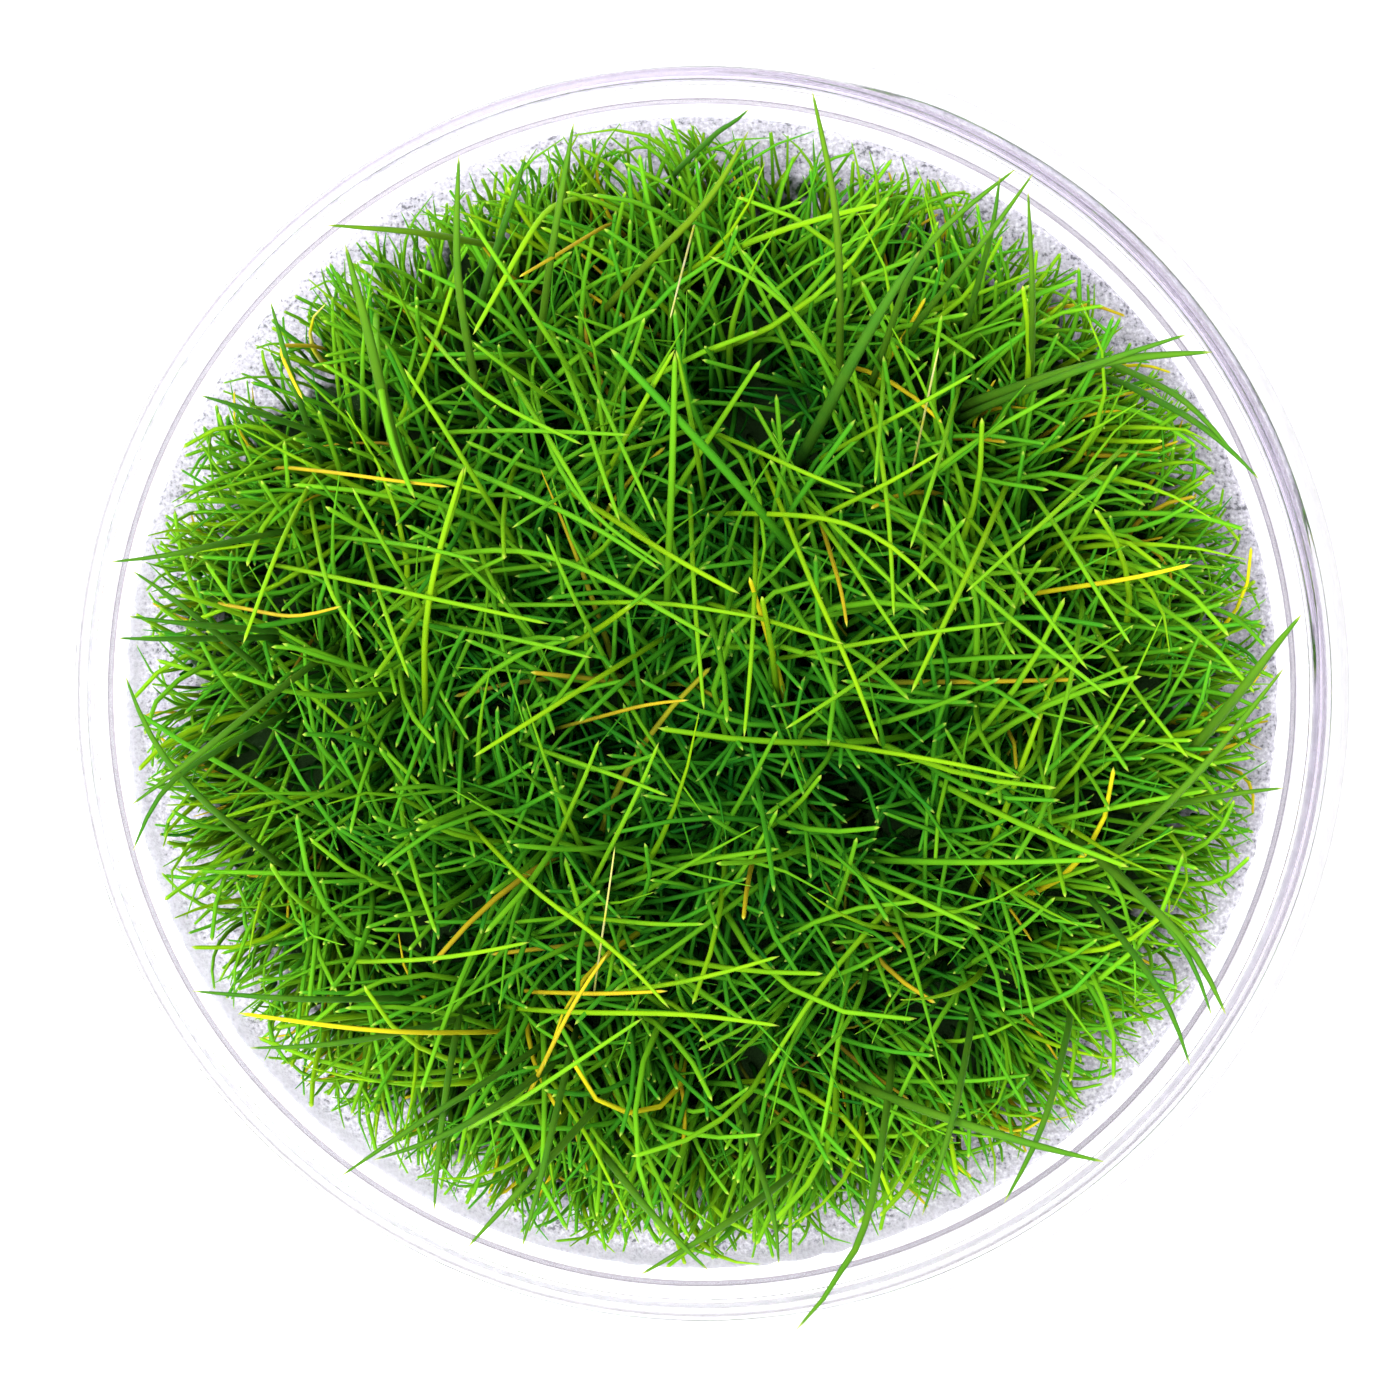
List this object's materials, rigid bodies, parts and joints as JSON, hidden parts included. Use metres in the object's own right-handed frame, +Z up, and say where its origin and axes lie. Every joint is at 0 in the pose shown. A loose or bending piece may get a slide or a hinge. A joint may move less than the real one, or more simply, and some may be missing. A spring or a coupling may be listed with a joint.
{
  "type": "dwarf hairgrass in a clear jar",
  "caption": "Dense green lawn of fine leafless hairgrass blades rooted in pale nutrient gel, in a low round clear jar with a screw neck and no lid.",
  "frame": {"origin": "centre of the jar's foot, on the surface that it stands on", "axes": "+Z up along the jar's axis, towards its open mouth; +X and +Y are level"},
  "size_m": [0.0926, 0.0926, 0.0589],
  "materials": {
    "clear_plastic": "gloss",
    "agar_gel": "satin",
    "hairgrass": "satin"
  },
  "bodies": {
    "root": {"jar": "clear_plastic", "agar_gel": "agar_gel", "plantlet_01": "hairgrass", "plantlet_02": "hairgrass", "plantlet_03": "hairgrass", "plantlet_04": "hairgrass", "plantlet_05": "hairgrass", "plantlet_06": "hairgrass", "plantlet_07": "hairgrass", "plantlet_08": "hairgrass", "plantlet_09": "hairgrass", "plantlet_10": "hairgrass", "plantlet_11": "hairgrass", "plantlet_12": "hairgrass", "plantlet_13": "hairgrass", "plantlet_14": "hairgrass", "plantlet_15": "hairgrass", "plantlet_16": "hairgrass", "plantlet_17": "hairgrass", "plantlet_18": "hairgrass", "plantlet_19": "hairgrass", "plantlet_20": "hairgrass", "plantlet_21": "hairgrass", "plantlet_22": "hairgrass", "plantlet_23": "hairgrass", "plantlet_24": "hairgrass", "plantlet_25": "hairgrass", "plantlet_26": "hairgrass", "plantlet_27": "hairgrass", "plantlet_28": "hairgrass", "plantlet_29": "hairgrass", "plantlet_30": "hairgrass", "plantlet_31": "hairgrass", "plantlet_32": "hairgrass", "plantlet_33": "hairgrass", "plantlet_34": "hairgrass", "plantlet_35": "hairgrass", "plantlet_36": "hairgrass", "plantlet_37": "hairgrass", "plantlet_38": "hairgrass", "plantlet_39": "hairgrass", "plantlet_40": "hairgrass", "plantlet_41": "hairgrass", "plantlet_42": "hairgrass", "plantlet_43": "hairgrass", "plantlet_44": "hairgrass", "plantlet_45": "hairgrass", "plantlet_46": "hairgrass", "plantlet_47": "hairgrass", "plantlet_48": "hairgrass", "plantlet_49": "hairgrass", "plantlet_50": "hairgrass"}
  },
  "joints": []
}
